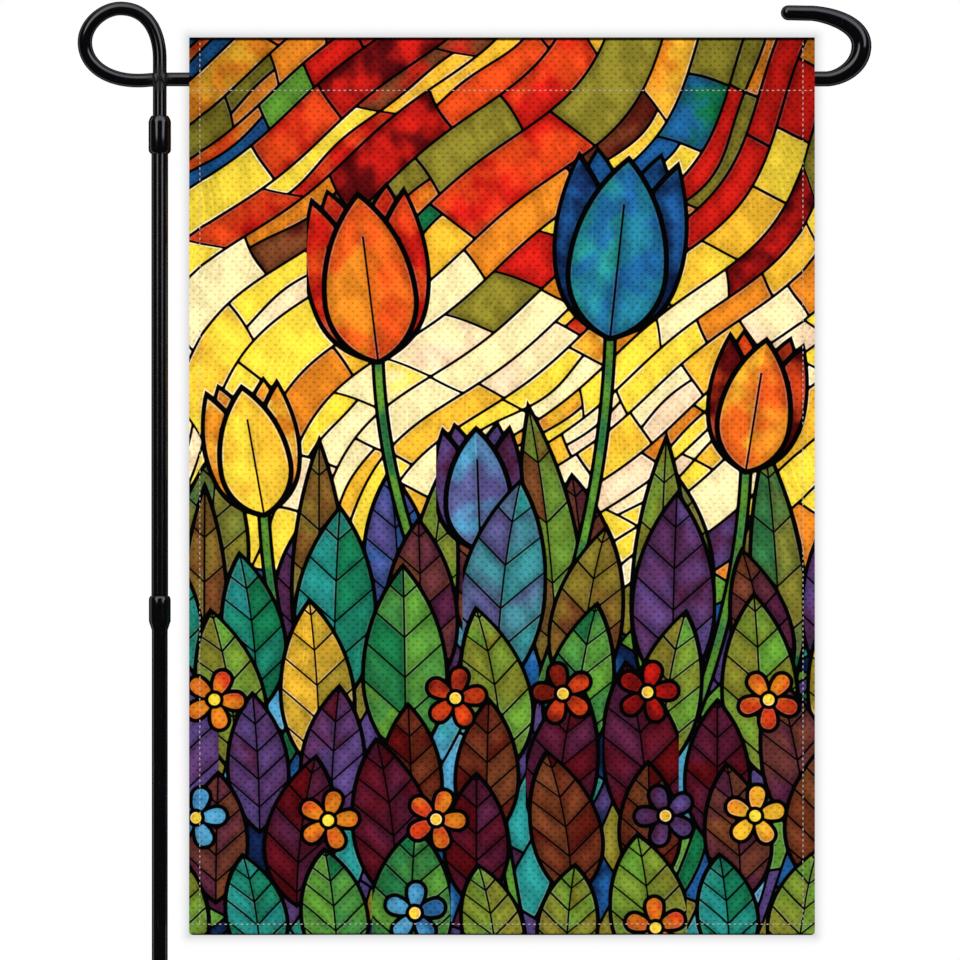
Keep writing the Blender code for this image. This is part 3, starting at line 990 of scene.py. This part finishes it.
def sheet_path():
    """The middle of the cloth from its foot up the front, over the fold and round the arm to its tail."""
    reach = CURL_RADIUS + GAP
    wire = Vector((ARM_DEPTH, ARM_HEIGHT))
    inner_face = ARM_DEPTH - reach
    front = inner_face - CLOTH / 2
    fold = Vector((inner_face + FOLD_SLACK, FLAG_TOP - CLOTH - FOLD_SLACK))
    tail_face = inner_face + CLOTH / 2 + TAIL_CLEARANCE

    down = wire - fold
    lean = math.asin((reach - FOLD_SLACK) / down.length)
    leave = math.atan2(down.y, down.x) + math.pi / 2 + lean
    back = Vector((inner_face, SEAM_HEIGHT)) - wire
    finish = math.atan2(back.y, back.x) + math.acos(reach / back.length)

    rises = (0, CORNER_REACH, HEM_WIDTH, HEM_WIDTH + HEM_STEP)
    corners = [Vector((front, FLAG_FOOT + rise)) for rise in rises]
    corners += spaced(corners[-1], Vector((front, fold.y)), CELL)
    corners += arc_points(fold, FOLD_SLACK + CLOTH / 2, math.pi, leave, steps=10)
    wrap_start = wire + (reach + CLOTH / 2) * Vector((math.cos(leave), math.sin(leave)))
    corners += spaced(corners[-1], wrap_start, CELL / 2)
    corners += arc_points(wire, reach + CLOTH / 2, leave, finish, steps=16)
    heading = Vector((math.sin(finish), -math.cos(finish)))
    meet = corners[-1] + heading * ((tail_face - corners[-1].x) / heading.x)
    corners += spaced(corners[-1], meet, CELL / 3)
    corners += spaced(meet, Vector((tail_face, SEAM_HEIGHT - SLEEVE_TURNING)), CELL / 3)
    run = 0.0
    path = []
    for before, corner in zip([corners[0]] + corners, corners):
        run += (corner - before).length
        path.append(PathPoint(Vector((0, *corner)), run))
    return path


def spaced(start, end, pitch):
    """Evenly spaced points from start to end, without the start."""
    steps = max(1, math.ceil((end - start).length / pitch))
    return [start.lerp(end, i / steps) for i in range(1, steps + 1)]


def arc_points(centre, radius, start, end, steps):
    """Points on an arc about centre, from one angle to another, without the first."""
    angles = [start + (end - start) / steps * i for i in range(1, steps + 1)]
    return [centre + radius * Vector((math.cos(angle), math.sin(angle))) for angle in angles]


def sway(x, z):
    """How far the hanging cloth stands forward at a place."""
    drop = min(1.0, max(0.0, (SEAM_HEIGHT - z) / (SEAM_HEIGHT - FLAG_FOOT)))
    return SWAY * smooth(drop) * math.sin(2 * math.pi * (x - FLAG_LEFT) / SWAY_PITCH + SWAY_PHASE)


def column_places():
    """The cloth's columns of vertices, closer at the hems' inner edges."""
    inner_left, inner_right = FLAG_LEFT + HEM_WIDTH, FLAG_RIGHT - HEM_WIDTH
    steps = round((inner_right - inner_left) / CELL)
    span = inner_right - inner_left - 2 * HEM_STEP
    places = [inner_left + HEM_STEP + span * i / steps for i in range(steps)]
    left = [FLAG_LEFT, FLAG_LEFT + CORNER_REACH, inner_left]
    return left + places + [inner_right - HEM_STEP, inner_right, FLAG_RIGHT - CORNER_REACH, FLAG_RIGHT]


def is_hem(x, run):
    """Whether a place on the cloth is in a turned hem."""
    reach = HEM_WIDTH + GAP / 3
    at_side = x < FLAG_LEFT + reach or x > FLAG_RIGHT - reach
    return run < TAIL_RUN and (at_side or run < reach)


def flag_sheet():
    """The banner: one sheet, drawn out column by column from its section, with its hems and its sway."""
    bm = bmesh.new()
    run_layer = bm.verts.layers.float.new("run")
    weight_layer = bm.verts.layers.deform.verify()
    columns = column_places()
    chain = []
    for place, run in sheet_path():
        vert = bm.verts.new((columns[0], place.y, place.z))
        vert[run_layer] = run
        chain.append(vert)
    edges = [bm.edges.new(pair) for pair in zip(chain, chain[1:])]
    for before, column in zip(columns, columns[1:]):
        edges, verts = drawn_out(bm, edges)
        bmesh.ops.translate(bm, verts=verts, vec=(column - before, 0, 0))

    foot_corners = [
        v for v in bm.verts
        if v[run_layer] < MERGE and (v.co.x < FLAG_LEFT + MERGE or v.co.x > FLAG_RIGHT - MERGE)
    ]
    bmesh.ops.bevel(
        bm, geom=foot_corners, offset=CORNER_RADIUS, segments=6, profile=0.5, affect="VERTICES", material=-1
    )
    for vert in bm.verts:
        if vert.co.z < FLAG_FOOT + CELL:
            vert[run_layer] = vert.co.z - FLAG_FOOT

    cloth_map = bm.loops.layers.uv.new(CLOTH_MAP)
    for face in bm.faces:
        for loop in face.loops:
            loop[cloth_map].uv = (loop.vert.co.x - FLAG_LEFT, loop.vert[run_layer])
    for vert in bm.verts:
        hemmed = is_hem(vert.co.x, vert[run_layer])
        vert[weight_layer][0] = 1.0 if hemmed else CLOTH / (CLOTH + HEM_EXTRA)
        if hemmed:
            vert.co.y += HEM_EXTRA / 2
        vert.co.y -= sway(vert.co.x, vert.co.z)
    bmesh.ops.recalc_face_normals(bm, faces=bm.faces)
    if sum(face.normal.y for face in bm.faces) > 0:
        bmesh.ops.reverse_faces(bm, faces=bm.faces)
    return bm


def surface_at(path, run, outward):
    """A place on the cloth's face, with the way along it and the way out of it."""
    for before, after in zip(path, path[1:]):
        if after.run >= run:
            break
    heading = (after.place - before.place).normalized()
    middle = before.place.lerp(after.place, (run - before.run) / (after.run - before.run))
    return middle, heading, Vector((0, -heading.z, heading.y)) * outward


def add_stitch(bm, place, along, out):
    """One stitch: a short fat bead of thread, sunk at its ends."""
    size = Matrix.Diagonal((THREAD_RADIUS, THREAD_RADIUS * 0.8, STITCH_LENGTH / 2, 1))
    spot = Matrix.Translation(place) @ turned_round(along.cross(out), out, along) @ size
    bead = bmesh.new()
    bmesh.ops.create_uvsphere(bead, u_segments=8, v_segments=6, radius=1.0, matrix=spot)
    mesh = bpy.data.meshes.new("bead")
    bead.to_mesh(mesh)
    bead.free()
    bm.from_mesh(mesh)
    bpy.data.meshes.remove(mesh)


def sew(bm, path, start, end, outward, proud):
    """A line of stitches up the cloth or across it, between two places given as (x, run)."""
    is_level = start[1] == end[1]
    span = Vector(end) - Vector(start)
    count = round(span.length / STITCH_PITCH)
    for i in range(count):
        x, run = Vector(start) + span * ((i + 0.5) / count)
        middle, heading, out = surface_at(path, run, outward)
        along, aside = (SIDEWAYS, heading) if is_level else (heading, SIDEWAYS)
        phase = i * 1.9 + run * 900 if is_level else i * 2.3 + x * 900
        place = middle + out * proud + aside * WANDER * math.sin(phase) + Vector((x, -sway(x, middle.z), 0))
        add_stitch(bm, place, along, out)


def wire_route():
    """The wire's centre line as (place, radius) rows, from the curl's tip to the stem's end."""
    rows, row_at = [], {}
    for knot, follower in zip(WIRE_KNOTS, WIRE_KNOTS[1:]):
        row_at[knot.name] = len(rows)
        start, end = Vector((knot.x, 0, knot.z)), Vector((follower.x, 0, follower.z))
        leaving = start + Vector((knot.heading_x, 0, knot.heading_z)) * knot.reach_after
        arriving = end - Vector((follower.heading_x, 0, follower.heading_z)) * follower.reach_before
        steps = TURN_STEPS if knot.reach_after or follower.reach_before else STRAIGHT_STEPS
        places = interpolate_bezier(start, leaving, arriving, end, steps + 1)
        for i, place in enumerate(places[:-1]):
            rows.append((place, knot.radius + (follower.radius - knot.radius) * smooth(i / steps)))
    rows.append((end, follower.radius))
    set_depths(rows, row_at["loop_foot"], row_at["stem_top"])
    return round_tip(rows) + rows[1:]


def set_depths(rows, first, last):
    """Puts the level arm behind the stem, and brings the loop forward between the first and last row."""
    travelled = [0.0]
    for (place, _), (following, _) in zip(rows[first:last], rows[first + 1:last + 1]):
        travelled.append(travelled[-1] + (following - place).length)
    for i, (place, _) in enumerate(rows):
        share = travelled[min(max(i - first, 0), last - first)] / travelled[-1]
        place.y = ARM_DEPTH * (1 - smooth(share))


def round_tip(rows):
    """The wire's rounded free end: rows that close in on the tip, and the first row behind them."""
    place, radius = rows[0]
    outward = (place - rows[1][0]).normalized()
    angles = [math.pi / 2 * (1 - i / TIP_STEPS) for i in range(TIP_STEPS + 1)]
    return [(place + outward * radius * math.sin(a), radius * max(TIP_FLAT, math.cos(a))) for a in angles]


def ring_frame(rows, index):
    """The matrix that puts a unit ring round the wire at one row."""
    place, radius = rows[index]
    heading = (rows[min(len(rows) - 1, index + 1)][0] - rows[max(0, index - 1)][0]).normalized()
    side = heading.cross(Vector((0, 1, 0))).normalized()
    turn = turned_round(side, heading.cross(side), heading)
    return Matrix.Translation(place) @ turn @ Matrix.Scale(radius, 4)


def add_wire(finish):
    """The bent wire: a ring drawn out along its route."""
    rows = wire_route()
    bm = bmesh.new()
    before = ring_frame(rows, 0)
    bmesh.ops.create_circle(bm, cap_ends=True, radius=1.0, segments=WIRE_SIDES, matrix=before)
    edges = bm.edges[:]
    for index in range(1, len(rows)):
        here = ring_frame(rows, index)
        edges, verts = drawn_out(bm, edges)
        bmesh.ops.transform(bm, matrix=here @ before.inverted(), verts=verts)
        before = here
    bmesh.ops.edgeloop_fill(bm, edges=edges)
    bmesh.ops.recalc_face_normals(bm, faces=bm.faces)
    made = add_piece("wire", bm, finish, "black_enamel")
    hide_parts("wire_arm")


def add_weld(finish):
    """The lump of weld over the crossing, with its ripples."""
    front = -WIRE_RADIUS - WELD_PROUD
    back = ARM_DEPTH + WIRE_RADIUS + WELD_PROUD
    half = Vector((WELD_HALF_WIDTH, (back - front) / 2, WELD_HALF_HEIGHT))
    centre = Vector((0, (front + back) / 2, ARM_HEIGHT))
    bm = bmesh.new()
    bmesh.ops.create_icosphere(bm, subdivisions=5, radius=1.0)
    for vert in bm.verts:
        squared = Vector([math.copysign(abs(c) ** WELD_SQUARENESS, c) for c in vert.co])
        squared *= 1.0 / max(1.0, max(abs(c) for c in squared))
        place = squared * half
        lump = noise.fractal(place * WELD_GRAIN, 1.0, 2.0, 3) * WELD_LUMPS
        vert.co = centre + place * (WELD_FILL + lump / WELD_HALF_WIDTH)
    add_piece("weld", bm, finish, "black_enamel")


def quarter_round(start, end, slack):
    """Points on a convex quarter ellipse between two (radius, height) places, without the first.

    Slack above 1 draws the curve in towards its chord.
    """
    width, height = end[0] - start[0], end[1] - start[1]
    points = []
    for i in range(1, ROUND_STEPS + 1):
        angle = math.pi / 2 * i / ROUND_STEPS
        rise, fall = math.sin(angle) ** slack, 1 - max(0.0, math.cos(angle)) ** slack
        across, up = (rise, fall) if width > 0 else (fall, rise)
        points.append((start[0] + width * across, start[1] + height * up))
    return points


def add_turned(name, profile, closed, finish, node):
    """A round piece: a (radius, height) profile spun about the pole's axis."""
    bm = bmesh.new()
    verts = [bm.verts.new((radius, 0, height)) for radius, height in profile]
    ring = verts + verts[:1] if closed else verts
    edges = [bm.edges.new(pair) for pair in zip(ring, ring[1:])]
    bmesh.ops.spin(
        bm, geom=verts + edges, cent=(0, 0, 0), axis=(0, 0, 1), dvec=(0, 0, 0), angle=2 * math.pi,
        steps=TUBE_SIDES, use_merge=True, use_duplicate=False,
    )
    bmesh.ops.remove_doubles(bm, verts=bm.verts, dist=MERGE)
    bmesh.ops.recalc_face_normals(bm, faces=bm.faces)
    made = add_piece(name, bm, finish, "black_enamel")
    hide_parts(node)


def socket_profile(tube, plug_radius, slack):
    """The part of a tube's section from its seat up its bore, over its mouth and down its side."""
    bore = plug_radius + GAP
    lip = (bore + LIP, tube.top)
    side = (tube.socket_radius, tube.top - tube.rounding)
    seat = [(tube.radius - TUBE_WALL, tube.seat), (bore, tube.seat), (bore, tube.top), lip]
    return seat + quarter_round(lip, side, slack)


def upper_profile():
    """The upper tube's section, with the socket that takes the stem."""
    foot, shoulder = LOWER.seat + GAP, (UPPER.socket_radius, UPPER.bottom + SHOULDER_ROUNDING)
    profile = socket_profile(UPPER, WIRE_RADIUS, 1.4) + [shoulder]
    profile += quarter_round(shoulder, (UPPER.radius, UPPER.bottom), 1.25)
    return profile + [(UPPER.radius, foot), (UPPER.radius - TUBE_WALL, foot)]


def lower_profile():
    """The lower tube's section, from its floor to its socket and down to the ground."""
    profile = [(0, FOOT_FLOOR), (LOWER.radius - TUBE_WALL, FOOT_FLOOR)]
    profile += socket_profile(LOWER, UPPER.radius, 1.3)
    profile += [(LOWER.socket_radius, LOWER.bottom + SOCKET_TAPER), (LOWER.radius, LOWER.bottom)]
    return profile + [(LOWER.radius, FOOT_CHAMFER), (LOWER.radius - FOOT_CHAMFER, 0), (0, 0)]


def add_camera(look):
    """A long lens, level and square to the flag, that takes in the photograph's frame."""
    data = bpy.data.cameras.new("camera")
    data.lens = look.lens
    data.sensor_width = SENSOR_WIDTH
    data.clip_start = 0.1
    data.clip_end = 50.0
    camera = linked("camera", data)
    half = IMAGE_SIDE / 2
    away = IMAGE_SIDE * PIXEL / SENSOR_WIDTH * look.lens
    height = STAND_TOP - (half - TOP_PIXEL) * PIXEL
    camera.location = ((half - POLE_PIXEL) * PIXEL, PICTURE_DEPTH - away, height)
    camera.rotation_euler = (math.pi / 2, 0, 0)
    bpy.context.scene.camera = camera
    return camera


def add_lamp():
    """A square lamp at the upper left, which only matt surfaces see."""
    data = bpy.data.lights.new("key", "AREA")
    data.size = LAMP_SIDE
    data.energy = LAMP_POWER
    lamp = linked("key", data)
    lamp.location = LAMP_PLACE
    lamp.rotation_euler = (LAMP_TARGET - LAMP_PLACE).to_track_quat("-Z", "Y").to_euler()
    lamp.visible_camera = False
    lamp.visible_glossy = False


def studio_gloss(x, y, z):
    """What glossy surfaces see: soft boxes in a ring round the camera, higher overhead, and a rim behind."""
    angle = calculate("ARCCOSINE", -1.0 * y)
    up = highest(z, 0.0)
    middle = 0.56 + 0.12 * x + 0.60 * up
    half = 0.20 + 0.26 * up
    boxes = 1.0 - rising(abs(angle - middle), half * 0.35, half * 1.15)
    rim = 1.0 - rising(abs(angle - 1.87), 0.08, 0.26)
    return boxes * rising(z, 0.006, 0.042) * (4.0 - 1.9 * up) + rim * 0.8 + 0.015


def add_world(look):
    """A white room for the eye, an even fill for matt surfaces, and soft boxes in the dark for gloss."""
    world = bpy.data.worlds.new("studio")
    bpy.context.scene.world = world
    world.use_nodes = True
    world.cycles.sampling_method = "NONE"
    tree = world.node_tree
    rays = add_node(tree, "LightPath").outputs
    is_camera, is_glossy = Signal(rays["Is Camera Ray"]), Signal(rays["Is Glossy Ray"])
    x, y, z = parts(signal(tree, "TexCoord", output="Generated"))
    matt_or_gloss = between(is_glossy, look.fill, studio_gloss(x, y, z))
    violet = is_glossy * rising(x, -0.1, 0.2) * (1.0 - is_camera)
    colour = mixed(violet, (1.0, 1.0, 1.0), (0.90, 0.88, 1.0))
    feed_all(tree.nodes["Background"], {
        "Strength": between(is_camera, matt_or_gloss, 1.0), "Color": colour,
    })


def floor_material():
    """Pale matt paint with a faint mottle."""
    made, tree, shader = material("pale_floor")
    place = signal(tree, "TexCoord", output="Object")
    colour = mixed(cloudy(place, 3.0, 4.0) * 0.5, linear(250, 250, 249), linear(243, 242, 241))
    feed_all(shader, {"Base Color": colour, "Roughness": 0.75 + 0.1 * cloudy(place, 40.0, 2.0)})
    return made


def backdrop_material(middle, half):
    """A clear card that is shaded softly round the flag. Only the camera sees the shade, from the front."""
    made, tree, shader = material("soft_shade")
    tree.nodes.remove(shader)
    x, _, z = parts(signal(tree, "TexCoord", output="Object"))
    beside = highest(abs(x - middle.x) - half.x, 0.0)
    above = highest(abs(z - middle.z) - half.z, 0.0)
    nearness = highest(1.0 - length_of(beside, above) / SHADE_REACH, 0.0)
    is_camera = signal(tree, "LightPath", output="Is Camera Ray")
    is_back = signal(tree, "NewGeometry", output="Backfacing")
    shade = 1.0 - is_camera * (1.0 - is_back) * SHADE_STRENGTH * nearness ** 1.8
    clear = signal(tree, "BsdfTransparent", {"Color": point(tree, shade, shade, shade)})
    feed(tree.nodes["Material Output"].inputs["Surface"], clear)
    return made


def add_backdrop(look, eye):
    """The card behind the flag, as large as the flag looks from the camera's place, and its margin."""
    reach = (look.backdrop_depth - eye.y) / (PICTURE_DEPTH - eye.y)
    low, high = (
        eye + (Vector((x, PICTURE_DEPTH, z)) - eye) * reach
        for x, z in ((FLAG_LEFT, FLAG_FOOT), (FLAG_RIGHT, FLAG_TOP))
    )
    middle, half = (low + high) / 2, (high - low) / 2
    size = Matrix.Diagonal((half.x + CARD_MARGIN, half.z + CARD_MARGIN, 1, 1))
    place = Matrix.Translation(middle) @ Matrix.Rotation(math.pi / 2, 4, "X") @ size
    bm = bmesh.new()
    bmesh.ops.create_grid(bm, x_segments=2, y_segments=2, size=1.0, matrix=place)
    add_stage_piece("backdrop", bm, backdrop_material(middle, half))


class GARDENFLAG_OT_stage(bpy.types.Operator):
    """Sets up the camera, the lights, the floor and the backdrop"""

    bl_idname = "gardenflag.stage"
    bl_label = "Stage"

    def execute(self, context):
        look = context.scene.flag_stage_look
        context.scene.view_settings.view_transform = "Standard"
        context.scene.view_settings.look = "None"
        camera = add_camera(look)
        add_world(look)
        add_lamp()
        bm = bmesh.new()
        bmesh.ops.create_circle(bm, cap_ends=True, radius=look.floor_radius, segments=96)
        floor = add_stage_piece("floor", bm, floor_material())
        floor.visible_diffuse = False
        floor.visible_glossy = False
        add_backdrop(look, camera.location)
        return {"FINISHED"}


class GARDENFLAG_OT_wire(bpy.types.Operator):
    """Makes the bent wire and its weld"""

    bl_idname = "gardenflag.wire"
    bl_label = "Wire and weld"

    def execute(self, context):
        add_wire(enamel(ENAMEL_NAME))
        add_weld(enamel("welded_enamel", base_dull=0.75, peel=0.00006))
        return {"FINISHED"}


class GARDENFLAG_OT_pole(bpy.types.Operator):
    """Makes the pole's two tubes"""

    bl_idname = "gardenflag.pole"
    bl_label = "Pole"

    def execute(self, context):
        finish = bpy.data.materials[ENAMEL_NAME]
        add_turned("upper_tube", upper_profile(), True, finish, "upper_pole")
        add_turned("lower_tube", lower_profile(), False, finish, "lower_pole")
        return {"FINISHED"}


class GARDENFLAG_OT_cloth(bpy.types.Operator):
    """Makes the printed banner and gives it its thickness"""

    bl_idname = "gardenflag.cloth"
    bl_label = "Printed cloth"

    def execute(self, context):
        made = add_piece("flag", flag_sheet(), printed_cloth(), "printed_cloth")
        wall = made.modifiers.new("thickness", "SOLIDIFY")
        wall.thickness = CLOTH + HEM_EXTRA
        wall.offset = 0.0
        wall.use_even_offset = True
        wall.use_rim = True
        wall.vertex_group = made.vertex_groups.new(name="thickness").name
        edge = made.modifiers.new("soft edges", "BEVEL")
        edge.width = EDGE_ROUNDING
        edge.segments = 2
        edge.limit_method = "ANGLE"
        edge.angle_limit = math.radians(60)
        edge.profile = 0.5
        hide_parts("flag_cloth")
        length = sheet_path()[-1].run
        return {"FINISHED"}


class GARDENFLAG_OT_stitching(bpy.types.Operator):
    """Sews the hems and the sleeve, with stitches on both faces"""

    bl_idname = "gardenflag.stitching"
    bl_label = "Stitching"

    def execute(self, context):
        path = sheet_path()
        face, hem_back = CLOTH / 2, CLOTH / 2 + HEM_EXTRA
        left, right, tail = FLAG_LEFT + SELVEDGE, FLAG_RIGHT - SELVEDGE, path[-1].run
        seams = {}
        for name, inset in SEWN_LINES.items():
            x = FLAG_LEFT + inset
            seams[name] = [
                ((x, FOOT_LINE), (x, FOLD_RUN), 1, face),
                ((x, FOOT_LINE), (x, TAIL_RUN - SEAM_CLEARANCE), -1, hem_back),
                ((x, FOLD_RUN + 2 * FOLD_CLEARANCE), (x, tail - SELVEDGE), 1, face),
            ]
        foot = (left, FOOT_LINE), (right, FOOT_LINE)
        seams["foot_hem"] = [(*foot, 1, face), (*foot, -1, hem_back)]
        runs = (SEAM_RUN, tail - SLEEVE_TURNING * 0.6)
        seams["sleeve"] = [((left, run), (right, run), 1, face) for run in runs]
        thread = sewing_thread()
        for name, lines in seams.items():
            bm = bmesh.new()
            for line in lines:
                sew(bm, path, *line)
            add_piece(f"stitches_{name}", bm, thread, "printed_cloth")
        return {"FINISHED"}


OPERATORS = (
    GARDENFLAG_OT_stage,
    GARDENFLAG_OT_wire,
    GARDENFLAG_OT_pole,
    GARDENFLAG_OT_cloth,
    GARDENFLAG_OT_stitching,
)
LOOKS = {
    "flag_glass": GlassColours,
    "flag_cloth_look": ClothLook,
    "flag_stand_look": StandLook,
    "flag_stage_look": StageLook,
}


class GARDENFLAG_PT_panel(bpy.types.Panel):
    """Lists the flag's pieces and looks"""

    bl_label = "Garden flag"
    bl_space_type = "VIEW_3D"
    bl_region_type = "UI"
    bl_category = "Garden flag"

    def draw(self, context):
        for operator in OPERATORS:
            self.layout.operator(operator.bl_idname)
        for name, group in LOOKS.items():
            box = self.layout.box()
            box.label(text=group.__doc__)
            for label in group.__annotations__:
                box.prop(getattr(context.scene, name), label)


def register():
    """Registers the looks, the operators and the panel."""
    for name, group in LOOKS.items():
        bpy.utils.register_class(group)
        setattr(bpy.types.Scene, name, PointerProperty(type=group))
    for found in (*OPERATORS, GARDENFLAG_PT_panel):
        bpy.utils.register_class(found)


def unregister():
    """Takes the add-on's classes away again."""
    for found in reversed((*OPERATORS, GARDENFLAG_PT_panel)):
        bpy.utils.unregister_class(found)
    for name, group in LOOKS.items():
        delattr(bpy.types.Scene, name)
        bpy.utils.unregister_class(group)


def write_sizes():
    """Puts the solids' box and the dressed flag's box side by side."""
    sizes = {
        "cad": [list(corner) for corner in CAD_BOX],
        "visual": [list(corner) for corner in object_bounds()],
    }


def main():
    """Makes the stage and every piece."""
    register()
    bpy.ops.gardenflag.stage()
    bpy.ops.gardenflag.wire()
    bpy.ops.gardenflag.pole()
    bpy.ops.gardenflag.cloth()
    bpy.ops.gardenflag.stitching()
    write_sizes()


if __name__ == "__main__":
    main()
